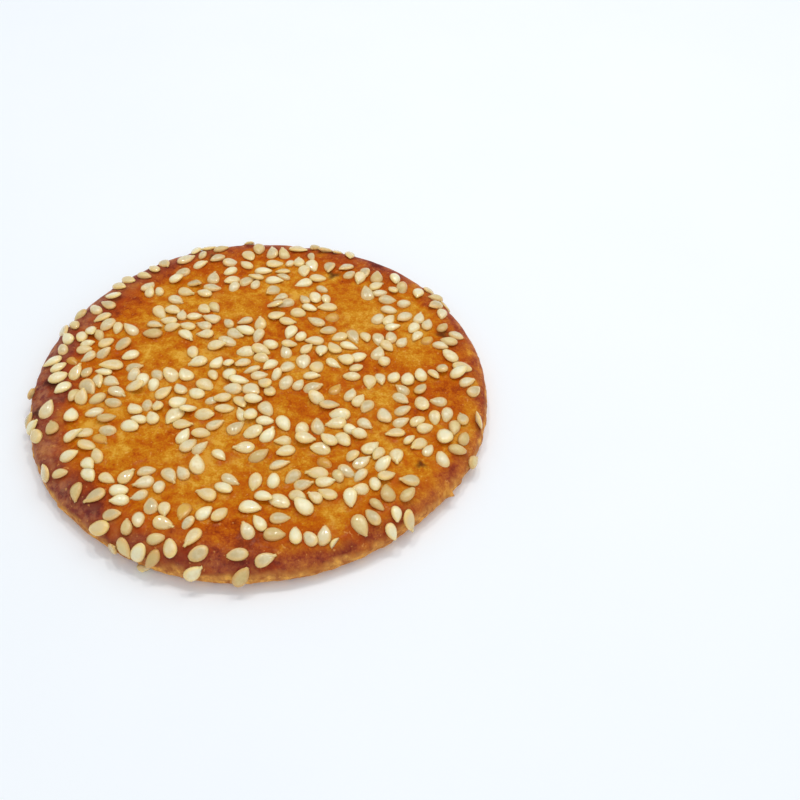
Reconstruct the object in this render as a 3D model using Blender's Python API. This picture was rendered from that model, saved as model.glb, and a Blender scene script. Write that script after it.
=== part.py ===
"""A thin round sesame biscuit, lying flat: one baked round with its sesame seeds fused on.

Metres, +Z up. The origin is the middle of the flat underside, so the biscuit rests on z = 0.
A place on the crust is given by how far it is from the middle, measured along the crust over
the top and down the side, and by its bearing round the middle.
"""

import math

import bmesh
import bpy
import numpy as np
from mathutils import Matrix, Vector

# The baked round
RADIUS = 0.0330  # to the widest line round its side
TOP_HEIGHT = 0.0043  # at the middle
RIM_DROP = 0.0004  # how much lower the top has become where the shoulder starts
SHOULDER_WIDTH = 0.0042  # from the end of the top out to the widest line
SHOULDER_ROUNDNESS = 2.3  # 2 is a plain quarter of an ellipse, and more is fuller
BELT_HEIGHT = 0.0015  # of the widest line
FOOT_INSET = 0.0016  # from the widest line in to the flat underside

# Hand-rolled dough isn't a true circle: lobes as (how many, share of the radius, bearing in degrees)
LOBES = ((2, 0.006, 100), (3, 0.005, 255), (5, 0.004, 275), (9, 0.0018, 20))
# Shallow waves over the top: (height, wavelength, heading in degrees, start in degrees)
WAVES = (
    (0.00016, 0.0270, 35, 20),
    (0.00012, 0.0205, 110, 200),
)

# The facets of the baked round
BEARINGS = 48
TOP_RINGS = 4
SHOULDER_RINGS = 4
FOOT_RINGS = 2

# Hulled sesame seeds
SEED_COUNT = 350
SEED_LENGTH = 0.00300
SEED_LENGTH_SPREAD = 0.00026
SEED_WIDTH = 0.64  # share of the length
SEED_WIDTH_SPREAD = 0.045
SEED_THICKNESS = 0.00100
SEED_THICKNESS_SPREAD = 0.00008
SEED_POINT = 0.50  # how sharply the tip is drawn out
SEED_SINK = 0.34  # share of the thickness that lies under the crust
RING_LEVEL = -0.20  # height of a seed's outline above its middle, as a share of the thickness
SEED_ROOM = 0.80  # how close two seeds may lie, as a share of their widths
SPINE = (-0.2, 0, 0.2)  # places along a seed, as shares of its length, that its room is measured from
SEED_LEAN = 0.13  # radians that a seed may lie off the crust
MOST_LEAN = 0.45
MOST_ROLL = 0.30
STACKED_SHARE = 0.12  # of the seeds that fall on others, how many stay
STACK_RISE = 0.36  # how far a seed lifts one that lies on it, as a share of the thickness
STACK_SETTLE = 0.7  # how much of that rise is left once the upper seed has sunk in
LONE_SHARE = 0.18  # of the seeds that fall clear of others, how many stay
CLUSTER_REACH = 0.0025  # between the middles of seeds that lie together
CLASH_REACH = 0.0036  # between the middles of seeds that may touch
ALIGNED_SHARE = 0.55  # of the seeds that lie together, how many lie side by side
ALIGNED_SPREAD = 0.35  # radians
TURNED_SHARE = 0.4  # of those side by side, how many point the other way
SEEDINESS = 0.45  # how likely a seed that falls on the top is to stay
RIM_SEEDINESS = 0.12  # the same on the shoulder and the side
LEAST_SEEDINESS = 0.02
DRAWS = 71

# Where seeds lie more or less thickly than that: (x, y, reach, change)
PATCHES = (
    (-0.0146, 0.0024, 0.0038, -0.8),
    (-0.0155, -0.0162, 0.0042, -0.8),
    (-0.0067, -0.0226, 0.0036, -0.8),
    (-0.0250, -0.0140, 0.0034, -0.8),
    (-0.0005, -0.0155, 0.0026, -0.5),
    (0.0061, -0.0069, 0.0030, -0.6),
    (0.0110, -0.0140, 0.0026, -0.5),
    (0.0254, -0.0175, 0.0042, -0.8),
    (-0.0205, 0.0124, 0.0028, -0.5),
    (0.0010, -0.0285, 0.0034, -0.5),
    (0.0120, 0.0150, 0.0042, -0.7),
    (-0.0050, 0.0150, 0.0034, -0.6),
    (0.0230, 0.0060, 0.0034, -0.6),
    (-0.0050, 0.0045, 0.0050, 0.7),
    (-0.0040, -0.0035, 0.0055, 0.7),
    (0.0130, -0.0078, 0.0045, 0.7),
    (0.0180, -0.0170, 0.0042, 0.5),
    (-0.0250, -0.0045, 0.0045, 0.7),
    (-0.0170, -0.0105, 0.0045, 0.6),
    (-0.0240, 0.0039, 0.0035, 0.6),
    (-0.0150, -0.0225, 0.0040, 0.6),
    (-0.0078, -0.0276, 0.0035, 0.6),
    (0.0050, -0.0210, 0.0045, 0.5),
)

SHOULDER_START = RADIUS - SHOULDER_WIDTH
SHOULDER_LENGTH = 0.5 * math.pi * math.hypot(SHOULDER_WIDTH, TOP_HEIGHT - RIM_DROP - BELT_HEIGHT) / math.sqrt(2)
FOOT_LENGTH = 0.5 * math.pi * math.hypot(FOOT_INSET, BELT_HEIGHT) / math.sqrt(2)
BELT_AT = SHOULDER_START + SHOULDER_LENGTH
FOOT_AT = BELT_AT + FOOT_LENGTH
LAST_SEED_AT = BELT_AT - 0.15 * SEED_LENGTH
STEP = 0.0002  # between places whose difference gives the slope of the crust


def profile(along):
    """The radius and height reached after going this far over the crust from the middle."""
    if along <= SHOULDER_START:
        return along, TOP_HEIGHT - RIM_DROP * (along / SHOULDER_START) ** 2
    if along <= BELT_AT:
        turn = 0.5 * math.pi * (along - SHOULDER_START) / SHOULDER_LENGTH
        out = math.sin(turn) ** (2 / SHOULDER_ROUNDNESS)
        up = max(math.cos(turn), 0) ** (2 / SHOULDER_ROUNDNESS)
        height = BELT_HEIGHT + (TOP_HEIGHT - RIM_DROP - BELT_HEIGHT) * up
        return SHOULDER_START + SHOULDER_WIDTH * out, height
    turn = 0.5 * math.pi * min((along - BELT_AT) / FOOT_LENGTH, 1)
    return RADIUS - FOOT_INSET * (1 - math.cos(turn)), BELT_HEIGHT * (1 - math.sin(turn))


def uneven(point):
    """A point of the true round, moved to where the hand-rolled and baked one has it."""
    x, y, z = point
    bearing = math.atan2(y, x)
    swell = sum(share * math.cos(count * (bearing - math.radians(at))) for count, share, at in LOBES)
    swell *= (math.hypot(x, y) / RADIUS) ** 2
    x, y = x * (1 + swell), y * (1 + swell)
    rise = 0
    for height, wavelength, heading, start in WAVES:
        across = x * math.cos(math.radians(heading)) + y * math.sin(math.radians(heading))
        rise += height * math.sin(2 * math.pi * across / wavelength + math.radians(start))
    return Vector((x, y, z + rise * z / TOP_HEIGHT))


def crust(along, bearing):
    """The point of the crust at this place."""
    radius, height = profile(along)
    return uneven((radius * math.cos(bearing), radius * math.sin(bearing), height))


def crust_frame(along, bearing):
    """The point of the crust at this place, and a rotation with +X outwards along it and +Z out of it."""
    middle = crust(along, bearing)
    outward = (crust(along + STEP, bearing) - crust(along - STEP, bearing)).normalized()
    turn = STEP / max(along, STEP)
    around = crust(along, bearing + turn) - crust(along, bearing - turn)
    up = outward.cross(around).normalized()
    return middle, Matrix((outward, up.cross(outward), up)).transposed()


def material(name, colour, roughness):
    made = bpy.data.materials.new(name)
    made.use_nodes = True
    made.diffuse_color = (*colour, 1)
    surface = made.node_tree.nodes["Principled BSDF"]
    surface.inputs["Base Color"].default_value = (*colour, 1)
    surface.inputs["Roughness"].default_value = roughness
    surface.inputs["Metallic"].default_value = 0
    return made


def add_object(name, shape, finish, collection):
    mesh = bpy.data.meshes.new(name)
    shape.to_mesh(mesh)
    shape.free()
    made = bpy.data.objects.new(name, mesh)
    mesh.materials.append(finish)
    collection.objects.link(made)
    return made


def baked_round():
    """The dough: half its section spun round the middle, then made uneven."""
    places = [SHOULDER_START * ring / TOP_RINGS for ring in range(TOP_RINGS)]
    places += [SHOULDER_START + SHOULDER_LENGTH * ring / SHOULDER_RINGS for ring in range(SHOULDER_RINGS)]
    places += [BELT_AT + FOOT_LENGTH * ring / FOOT_RINGS for ring in range(FOOT_RINGS + 1)]
    shape = bmesh.new()
    section = [shape.verts.new((radius, 0, height)) for radius, height in map(profile, places)]
    edges = [shape.edges.new(pair) for pair in zip(section, section[1:])]
    bmesh.ops.spin(
        shape,
        geom=section + edges,
        cent=(0, 0, 0),
        axis=(0, 0, 1),
        angle=2 * math.pi,
        steps=BEARINGS,
        use_merge=True,
    )
    bmesh.ops.remove_doubles(shape, verts=shape.verts, dist=1e-6)
    rim = [edge for edge in shape.edges if edge.is_boundary]
    bmesh.ops.contextual_create(shape, geom=rim)
    for vert in shape.verts:
        vert.co = uneven(vert.co)
    bmesh.ops.recalc_face_normals(shape, faces=shape.faces)
    return shape


def seed_outline(turn):
    """The half width of a seed at this angle round its outline, as a share of its widest: 0 at the tip."""
    widest = 2 * math.atan(math.sqrt(1 + SEED_POINT))
    peak = math.sin(widest) * math.sin(widest / 2) ** SEED_POINT
    return math.sin(turn) * abs(math.sin(turn / 2)) ** SEED_POINT / peak


def seed_shape(length, width, thickness):
    """One seed as a hull with few faces: a drop-shaped outline, a ridge above and a keel below."""
    shape = bmesh.new()
    for turn in map(math.radians, (0, 72, 144, 216, 288)):
        shape.verts.new((0.5 * length * math.cos(turn), 0.5 * width * seed_outline(turn), RING_LEVEL * thickness))
    for along in (-0.22, 0.10):
        shape.verts.new((along * length, 0, 0.5 * thickness))
    shape.verts.new((-0.06 * length, 0, -0.5 * thickness))
    bmesh.ops.convex_hull(shape, input=shape.verts)
    bmesh.ops.recalc_face_normals(shape, faces=shape.faces)
    return shape


def seediness(x, y, along):
    """How likely a seed that falls here is to stay."""
    likely = RIM_SEEDINESS if along > SHOULDER_START + 0.3 * SHOULDER_LENGTH else SEEDINESS
    for patch_x, patch_y, reach, change in PATCHES:
        likely += change * math.exp(-((math.hypot(x - patch_x, y - patch_y) / reach) ** 4))
    return max(likely, LEAST_SEEDINESS)


def drawn(draw, middle, spread):
    """A random size round this one, never more than two spreads away."""
    return middle + spread * float(np.clip(draw.normal(), -2, 2))


def strewn_seeds():
    """Where each seed lies on the crust laid out flat. They lie in loose clusters, a few on others."""
    draw = np.random.default_rng(DRAWS)
    seeds = []
    while len(seeds) < SEED_COUNT:
        along = LAST_SEED_AT * math.sqrt(draw.random())
        bearing = 2 * math.pi * draw.random()
        heading = 2 * math.pi * draw.random()
        length = drawn(draw, SEED_LENGTH, SEED_LENGTH_SPREAD)
        width = length * drawn(draw, SEED_WIDTH, SEED_WIDTH_SPREAD)
        thickness = drawn(draw, SEED_THICKNESS, SEED_THICKNESS_SPREAD)
        lean, roll, twist = SEED_LEAN * draw.normal(), SEED_LEAN * draw.normal(), ALIGNED_SPREAD * draw.normal()
        stays, stacks, aligns, turns = draw.random(4)
        x, y = along * math.cos(bearing), along * math.sin(bearing)

        # Whether it stays, by what it falls near
        gaps = {index: math.hypot(x - other["x"], y - other["y"]) for index, other in enumerate(seeds)}
        nearest = min(gaps, key=gaps.get, default=None)
        together = bool(gaps) and gaps[nearest] < CLUSTER_REACH
        if stays > seediness(x, y, along) * (1 if together else LONE_SHARE):
            continue
        if together and aligns < ALIGNED_SHARE:
            heading = seeds[nearest]["heading"] + twist + (math.pi if turns < TURNED_SHARE else 0)

        # What it lies on, and which of its places that lifts
        spine = [
            (x + share * length * math.cos(heading), y + share * length * math.sin(heading))
            for share in SPINE
        ]
        lifts = [0.0, 0.0, 0.0]
        under = []
        for other in (seeds[index] for index, gap in gaps.items() if gap < CLASH_REACH):
            room = SEED_ROOM * 0.5 * (width + other["width"])
            for index, spot in enumerate(spine):
                if min(math.dist(spot, there) for there in other["spine"]) < room:
                    under.append(other)
                    lifts[index] = STACK_RISE * other["thickness"]
        if under and (stacks > STACKED_SHARE or all(lifts) or along > SHOULDER_START):
            continue
        if any(other["lift"] for other in under):
            continue
        lift = STACK_SETTLE * max(lifts[1], 0.5 * (lifts[0] + lifts[2]))
        lean += 0.8 * math.atan2(lifts[0] - lifts[2], (SPINE[2] - SPINE[0]) * length)
        seeds.append(
            {
                "x": x,
                "y": y,
                "along": along,
                "bearing": bearing,
                "heading": heading,
                "length": length,
                "width": width,
                "thickness": thickness,
                "lean": max(-MOST_LEAN, min(MOST_LEAN, lean)),
                "roll": max(-MOST_ROLL, min(MOST_ROLL, roll)),
                "lift": lift,
                "spine": spine,
            }
        )
    return seeds


def place_seed(number, seed, finish, collection):
    shape = seed_shape(seed["length"], seed["width"], seed["thickness"])
    middle, turn = crust_frame(seed["along"], seed["bearing"])
    height = seed["lift"] + (0.5 - SEED_SINK) * seed["thickness"]
    place = (
        Matrix.Translation(middle)
        @ turn.to_4x4()
        @ Matrix.Translation((0, 0, height))
        @ Matrix.Rotation(seed["heading"] - seed["bearing"], 4, "Z")
        @ Matrix.Rotation(seed["lean"], 4, "Y")
        @ Matrix.Rotation(seed["roll"], 4, "X")
    )
    made = add_object(f"seed_{number:03}", shape, finish, collection)
    made.matrix_world = place
    return made


def fuse(whole, collection):
    """Joins the seeds to the baked round for good, and removes them."""
    union = whole.modifiers.new("fused_seeds", "BOOLEAN")
    union.operation = "UNION"
    union.operand_type = "COLLECTION"
    union.collection = collection
    graph = bpy.context.evaluated_depsgraph_get()
    fused = bpy.data.meshes.new_from_object(whole.evaluated_get(graph))
    whole.modifiers.clear()
    whole.data = fused
    for seed in list(collection.objects):
        bpy.data.objects.remove(seed)
    bpy.data.collections.remove(collection)


def islands(shape):
    """The sets of vertices that hang together, the largest first."""
    left = set(shape.verts)
    found = []
    while left:
        reached = {left.pop()}
        edge_of_search = list(reached)
        while edge_of_search:
            vert = edge_of_search.pop()
            for edge in vert.link_edges:
                other = edge.other_vert(vert)
                if other in left:
                    left.remove(other)
                    reached.add(other)
                    edge_of_search.append(other)
        found.append(reached)
    return sorted(found, key=len, reverse=True)


def keep_largest(whole):
    """Fills each hollow that the seeds sealed over, and drops any seed that missed the rest."""
    shape = bmesh.new()
    shape.from_mesh(whole.data)
    strays = islands(shape)[1:]
    for stray in strays:
        bmesh.ops.delete(shape, geom=list(stray), context="VERTS")
    shape.to_mesh(whole.data)
    shape.free()
    return len(strays)


def main():
    for old in list(bpy.data.objects):
        bpy.data.objects.remove(old)
    crust_finish = material("crust", (0.42, 0.13, 0.015), 0.45)
    seed_finish = material("sesame", (0.75, 0.60, 0.34), 0.50)
    scene = bpy.context.scene.collection
    biscuit = add_object("biscuit", baked_round(), crust_finish, scene)
    biscuit.data.materials.append(seed_finish)
    strewn = bpy.data.collections.new("strewn_seeds")
    scene.children.link(strewn)
    seeds = strewn_seeds()
    for number, seed in enumerate(seeds):
        place_seed(number, seed, seed_finish, strewn)
    fuse(biscuit, strewn)
    strays = keep_largest(biscuit)
    triangles = sum(len(face.vertices) - 2 for face in biscuit.data.polygons)
    print(len(seeds), "seeds,", strays, "strays,", triangles, "triangles")


main()
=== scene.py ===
import math

import bpy
import numpy as np
from mathutils import Matrix, Vector


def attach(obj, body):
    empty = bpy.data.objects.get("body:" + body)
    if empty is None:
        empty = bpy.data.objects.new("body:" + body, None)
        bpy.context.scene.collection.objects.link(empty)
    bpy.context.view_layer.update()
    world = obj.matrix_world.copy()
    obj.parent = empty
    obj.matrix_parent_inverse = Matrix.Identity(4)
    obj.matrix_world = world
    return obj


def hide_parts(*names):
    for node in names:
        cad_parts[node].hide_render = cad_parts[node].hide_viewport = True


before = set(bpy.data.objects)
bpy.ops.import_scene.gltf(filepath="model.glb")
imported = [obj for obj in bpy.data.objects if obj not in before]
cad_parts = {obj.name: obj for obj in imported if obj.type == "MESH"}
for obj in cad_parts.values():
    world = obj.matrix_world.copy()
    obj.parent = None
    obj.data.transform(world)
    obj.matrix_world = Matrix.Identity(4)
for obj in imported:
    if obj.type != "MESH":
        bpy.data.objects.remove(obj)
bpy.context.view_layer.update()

# The baked round's true form, the same as the solid's
dough = {
    "radius": 0.0330,  # to the widest line round its side
    "topHeight": 0.0043,  # at the middle
    "rimDrop": 0.0004,  # how much lower the top has become where the shoulder starts
    "shoulderWidth": 0.0042,
    "shoulderRoundness": 2.3,  # 2 would be a quarter of an ellipse
    "beltHeight": 0.0015,  # of the widest line
    "footInset": 0.0016,  # from the widest line in to the flat underside
    "lobes": ((2, 0.006, 100), (3, 0.005, 255), (5, 0.004, 275), (9, 0.0018, 20)),  # count, share, bearing
    "waves": ((0.00016, 0.0270, 35, 20), (0.00012, 0.0205, 110, 200)),  # height, length, heading, start
    "slopeStep": 0.0002,  # over which the crust's slope is taken
}
shoulderStart = dough["radius"] - dough["shoulderWidth"]
shoulderRise = dough["topHeight"] - dough["rimDrop"] - dough["beltHeight"]
shoulderLength = 0.5 * math.pi * math.hypot(dough["shoulderWidth"], shoulderRise) / math.sqrt(2)
footRadius = dough["radius"] - dough["footInset"]
footLength = 0.5 * math.pi * math.hypot(dough["footInset"], dough["beltHeight"]) / math.sqrt(2)
beltAt = shoulderStart + shoulderLength
footAt = beltAt + footLength


# The radius and height reached after going this far over the crust from the middle
def profile(along):
    along = np.asarray(along, float)
    power = 2 / dough["shoulderRoundness"]
    turn = 0.5 * math.pi * np.clip((along - shoulderStart) / shoulderLength, 0, 1)
    radius = shoulderStart + dough["shoulderWidth"] * np.sin(turn) ** power
    height = dough["beltHeight"] + shoulderRise * np.maximum(np.cos(turn), 0) ** power
    onTop = along <= shoulderStart
    radius = np.where(onTop, along, radius)
    height = np.where(onTop, dough["topHeight"] - dough["rimDrop"] * (along / shoulderStart) ** 2, height)
    below = along > beltAt
    turn = 0.5 * math.pi * np.clip((along - beltAt) / footLength, 0, 1)
    radius = np.where(below, dough["radius"] - dough["footInset"] * (1 - np.cos(turn)), radius)
    height = np.where(below, dough["beltHeight"] * (1 - np.sin(turn)), height)
    return radius, height


# Points of the true round, moved to where the hand-rolled and baked one has them
def uneven(points):
    x, y, z = points[..., 0], points[..., 1], points[..., 2]
    bearing = np.arctan2(y, x)
    swell = sum(share * np.cos(count * (bearing - math.radians(at))) for count, share, at in dough["lobes"])
    swell = swell * (np.hypot(x, y) / dough["radius"]) ** 2
    x, y = x * (1 + swell), y * (1 + swell)
    rise = 0
    for height, length, heading, start in dough["waves"]:
        across = x * math.cos(math.radians(heading)) + y * math.sin(math.radians(heading))
        rise = rise + height * np.sin(2 * math.pi * across / length + math.radians(start))
    return np.stack([x, y, z + rise * z / dough["topHeight"]], -1)


def crustPoint(along, bearing):
    radius, height = profile(along)
    return uneven(np.stack([radius * np.cos(bearing), radius * np.sin(bearing), height], -1))


# The point of the crust at a place, and a rotation with +X outwards along it and +Z out of it
def crustFrame(along, bearing):
    step = dough["slopeStep"]
    middle = crustPoint(along, bearing)
    outward = Vector(crustPoint(along + step, bearing) - crustPoint(along - step, bearing)).normalized()
    turn = step / max(along, step)
    around = Vector(crustPoint(along, bearing + turn) - crustPoint(along, bearing - turn))
    up = outward.cross(around).normalized()
    return Vector(middle), Matrix((outward, up.cross(outward), up)).transposed()


# How the seeds lie, by the solid's own rule: the draws and their order are the same
strewing = {
    "count": 350,
    "length": (0.00300, 0.00026),  # middle and spread
    "width": (0.64, 0.045),  # share of the length
    "thickness": (0.00100, 0.00008),
    "mostSpread": 2,  # how many spreads a size may lie from its middle
    "sink": 0.34,  # share of the thickness that lies under the crust
    "room": 0.80,  # how close two may lie, share of both half widths
    "spine": (-0.2, 0, 0.2),  # the places along a seed that are compared, share of its length
    "lean": 0.13,
    "mostLean": 0.45,
    "mostRoll": 0.30,
    "stackedShare": 0.12,  # of those that fell on others, how many stayed there
    "stackRise": 0.36,
    "stackSettle": 0.7,
    "stackLean": 0.8,
    "loneShare": 0.18,  # how likely one that fell away from others is to stay, share of the seediness
    "clusterReach": 0.0025,
    "clashReach": 0.0036,
    "alignedShare": 0.55,
    "alignedSpread": 0.35,
    "turnedShare": 0.4,
    "edgeMargin": 0.15,  # how far the last ones stay from the widest line, share of a length
    "seediness": 0.45,
    "rimSeediness": 0.12,
    "leastSeediness": 0.02,
    "rimFrom": 0.3,  # share of the shoulder past which the rim's seediness holds
    "patchEdge": 4,  # how sharply a patch ends
    "draws": 71,
    "patches": (  # x, y, reach, change
        (-0.0146, 0.0024, 0.0038, -0.8),
        (-0.0155, -0.0162, 0.0042, -0.8),
        (-0.0067, -0.0226, 0.0036, -0.8),
        (-0.0250, -0.0140, 0.0034, -0.8),
        (-0.0005, -0.0155, 0.0026, -0.5),
        (0.0061, -0.0069, 0.0030, -0.6),
        (0.0110, -0.0140, 0.0026, -0.5),
        (0.0254, -0.0175, 0.0042, -0.8),
        (-0.0205, 0.0124, 0.0028, -0.5),
        (0.0010, -0.0285, 0.0034, -0.5),
        (0.0120, 0.0150, 0.0042, -0.7),
        (-0.0050, 0.0150, 0.0034, -0.6),
        (0.0230, 0.0060, 0.0034, -0.6),
        (-0.0050, 0.0045, 0.0050, 0.7),
        (-0.0040, -0.0035, 0.0055, 0.7),
        (0.0130, -0.0078, 0.0045, 0.7),
        (0.0180, -0.0170, 0.0042, 0.5),
        (-0.0250, -0.0045, 0.0045, 0.7),
        (-0.0170, -0.0105, 0.0045, 0.6),
        (-0.0240, 0.0039, 0.0035, 0.6),
        (-0.0150, -0.0225, 0.0040, 0.6),
        (-0.0078, -0.0276, 0.0035, 0.6),
        (0.0050, -0.0210, 0.0045, 0.5),
    ),
}


# How likely a seed is to stay at a place
def seediness(x, y, along):
    onRim = along > shoulderStart + strewing["rimFrom"] * shoulderLength
    likely = strewing["rimSeediness"] if onRim else strewing["seediness"]
    for patchX, patchY, reach, change in strewing["patches"]:
        likely += change * math.exp(-((math.hypot(x - patchX, y - patchY) / reach) ** strewing["patchEdge"]))
    return max(likely, strewing["leastSeediness"])


def drawn(draw, middleAndSpread):
    most = strewing["mostSpread"]
    return middleAndSpread[0] + middleAndSpread[1] * float(np.clip(draw.normal(), -most, most))


def drawnSize(draw):
    length = drawn(draw, strewing["length"])
    return length, length * drawn(draw, strewing["width"]), drawn(draw, strewing["thickness"])


# A seed, by where its middle lies on the crust laid out flat, its heading there, and how it is tipped
def newSeed(x, y, along, bearing, heading, size, lean=0.0, roll=0.0, lift=0.0):
    length, width, thickness = size
    return {
        "x": x,
        "y": y,
        "along": along,
        "bearing": bearing,
        "heading": heading,
        "length": length,
        "width": width,
        "thickness": thickness,
        "lean": lean,
        "roll": roll,
        "lift": lift,
        "spine": [
            (x + share * length * math.cos(heading), y + share * length * math.sin(heading))
            for share in strewing["spine"]
        ],
    }


def strewnSeeds():
    rule = strewing
    draw = np.random.default_rng(rule["draws"])
    lastSeedAt = beltAt - rule["edgeMargin"] * rule["length"][0]
    seeds = []
    while len(seeds) < rule["count"]:
        along = lastSeedAt * math.sqrt(draw.random())
        bearing = 2 * math.pi * draw.random()
        heading = 2 * math.pi * draw.random()
        size = drawnSize(draw)
        lean, roll = rule["lean"] * draw.normal(), rule["lean"] * draw.normal()
        twist = rule["alignedSpread"] * draw.normal()
        stays, stacks, aligns, turns = draw.random(4)
        x, y = along * math.cos(bearing), along * math.sin(bearing)

        # whether it stays, by what it falls near
        gaps = {index: math.hypot(x - other["x"], y - other["y"]) for index, other in enumerate(seeds)}
        nearest = min(gaps, key=gaps.get, default=None)
        together = bool(gaps) and gaps[nearest] < rule["clusterReach"]
        if stays > seediness(x, y, along) * (1 if together else rule["loneShare"]):
            continue
        if together and aligns < rule["alignedShare"]:
            heading = seeds[nearest]["heading"] + twist + (math.pi if turns < rule["turnedShare"] else 0)
        seed = newSeed(x, y, along, bearing, heading, size)

        # what it lies on, and which of its places that lifts
        lifts = [0.0, 0.0, 0.0]
        under = []
        for other in (seeds[index] for index, gap in gaps.items() if gap < rule["clashReach"]):
            room = rule["room"] * 0.5 * (seed["width"] + other["width"])
            for index, spot in enumerate(seed["spine"]):
                if min(math.dist(spot, there) for there in other["spine"]) < room:
                    under.append(other)
                    lifts[index] = rule["stackRise"] * other["thickness"]
        if under and (stacks > rule["stackedShare"] or all(lifts) or along > shoulderStart):
            continue
        if any(other["lift"] for other in under):
            continue
        span = (rule["spine"][2] - rule["spine"][0]) * seed["length"]
        lean += rule["stackLean"] * math.atan2(lifts[0] - lifts[2], span)
        seed["lean"] = max(-rule["mostLean"], min(rule["mostLean"], lean))
        seed["roll"] = max(-rule["mostRoll"], min(rule["mostRoll"], roll))
        seed["lift"] = rule["stackSettle"] * max(lifts[1], 0.5 * (lifts[0] + lifts[2]))
        seeds.append(seed)
    return seeds


# Seeds that fell last and lodged against the others, which closes the clumps
lateSeeds = {
    "count": 62,
    "draws": 907,
    "touch": (0.86, 0.07),  # how close it lies beside its neighbour, share of both half widths
    "slide": 0.40,  # how far it is shifted lengthwise, at most, share of its length
    "turnSpread": 0.45,
    "flipShare": 0.4,
    "room": 0.66,
    "clashReach": 0.0036,
    "highest": 0.93,  # no further out than this share of the way to the widest line
    "welcome": 1.15,  # how much readier they are to stay than the strewn ones
}


def clash(seed, other):
    if math.hypot(seed["x"] - other["x"], seed["y"] - other["y"]) > lateSeeds["clashReach"]:
        return False
    room = lateSeeds["room"] * 0.5 * (seed["width"] + other["width"])
    return any(math.dist(spot, there) < room for spot in seed["spine"] for there in other["spine"])


def lodgedSeeds(seeds):
    rule = lateSeeds
    draw = np.random.default_rng(rule["draws"])
    everySeed = list(seeds)
    while len(everySeed) < len(seeds) + rule["count"]:
        neighbour = everySeed[int(draw.integers(len(everySeed)))]
        heading = neighbour["heading"] + rule["turnSpread"] * float(draw.normal())
        heading += math.pi * (draw.random() < rule["flipShare"])
        length, width, thickness = drawnSize(draw)
        lean, roll = strewing["lean"] * draw.normal(size=2)
        aside = 0.5 * (width + neighbour["width"]) * drawn(draw, rule["touch"]) * draw.choice((-1, 1))
        ahead = rule["slide"] * length * draw.uniform(-1, 1)
        stays = draw.random()
        cosine, sine = math.cos(neighbour["heading"]), math.sin(neighbour["heading"])
        x = neighbour["x"] + ahead * cosine - aside * sine
        y = neighbour["y"] + ahead * sine + aside * cosine
        along, bearing = math.hypot(x, y), math.atan2(y, x)
        if along > rule["highest"] * beltAt or stays > rule["welcome"] * seediness(x, y, along):
            continue
        size = (length, width, thickness)
        seed = newSeed(x, y, along, bearing, heading, size, float(lean), float(roll))
        if not any(clash(seed, other) for other in everySeed):
            everySeed.append(seed)
    return everySeed[len(seeds) :]


# Seeds that stand out on the rim, each given one by one: on the crust laid out flat, in millimetres and
# degrees
rimSeeds = (
    {"at": (4.9, -30.5), "heading": 30, "kind": "glazedSeeds", "tone": 0.5},
    {"at": (1.5, -30.2), "heading": -166, "kind": "glazedSeeds", "tone": 0.3},
    {"at": (-12.4, -30.1), "heading": -61, "kind": "toastedSeeds", "tone": 0.9},
    {"at": (30.8, -5.9), "heading": 107, "kind": "glazedSeeds", "tone": 0.9, "roll": 0.9, "rise": 0.0003},
    {"at": (31.3, -12.6), "heading": 51, "kind": "toastedSeeds", "tone": 0.6, "roll": -0.5, "rise": 0.0001},
    {"at": (-10.4, -33.6), "heading": -20, "kind": "drySeeds", "tone": 0.4, "roll": 0.6, "broken": 0.10},
    {"at": (13.7, -27.8), "heading": 5, "kind": "drySeeds", "tone": 0.7, "broken": -0.26},
)
rimSeedWidth = 0.60  # share of the length


def placedSeeds():
    length, thickness = strewing["length"][0], strewing["thickness"][0]
    size = (length, length * rimSeedWidth, thickness)
    placed = []
    for given in rimSeeds:
        x, y = given["at"][0] / 1000, given["at"][1] / 1000
        heading, roll, rise = math.radians(given["heading"]), given.get("roll", 0.0), given.get("rise", 0.0)
        seed = newSeed(x, y, math.hypot(x, y), math.atan2(y, x), heading, size, roll=roll, lift=rise)
        seed["broken"] = given.get("broken")
        placed.append(seed)
    return placed


# What each seed has become in the oven: most stayed dry and pale, some took up the egg wash
seedKinds = {
    "draws": 12,
    "kinds": ("drySeeds", "glazedSeeds", "toastedSeeds", "sunkenSeeds"),
    "onTop": (0.57, 0.39, 0.02, 0.02),  # the share of each kind
    "onRim": (0.34, 0.40, 0.26, 0.00),
    "onOthers": (1, 0, 0, 0),
    "rimMargin": 0.0005,  # how far before the shoulder the rim's shares start
    "extraSink": {"drySeeds": 0.0, "glazedSeeds": 0.05, "toastedSeeds": 0.0, "sunkenSeeds": 0.30},  # shares
    "mirroredShare": 0.5,
}


def sortSeeds(seeds):
    kinds = seedKinds["kinds"]
    draw = np.random.default_rng(seedKinds["draws"])
    for seed in seeds:
        onRim = seed["along"] > shoulderStart - seedKinds["rimMargin"]
        shares = seedKinds["onRim" if onRim else "onTop"]
        if seed["lift"]:
            shares = seedKinds["onOthers"]
        seed["kind"] = kinds[draw.choice(len(kinds), p=shares)]
        seed["tone"] = float(draw.random())
        seed["form"] = int(draw.integers(len(seedForms)))
        seed["mirror"] = bool(draw.random() < seedKinds["mirroredShare"])
        seed["shift"] = draw.normal(size=(3, 3))


def layOutSeeds():
    seeds = strewnSeeds()
    seeds += lodgedSeeds(seeds)
    byHand = placedSeeds()
    seeds += byHand
    sortSeeds(seeds)
    for seed, given in zip(byHand, rimSeeds):
        seed["kind"], seed["tone"] = given["kind"], given["tone"]
    print("seeds laid out", len(seeds))
    return seeds


def deselectAll():
    for selected in list(bpy.context.selected_objects):
        selected.select_set(False)


def showOnly(piece):
    deselectAll()
    piece.select_set(True)
    bpy.context.view_layer.objects.active = piece


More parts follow.
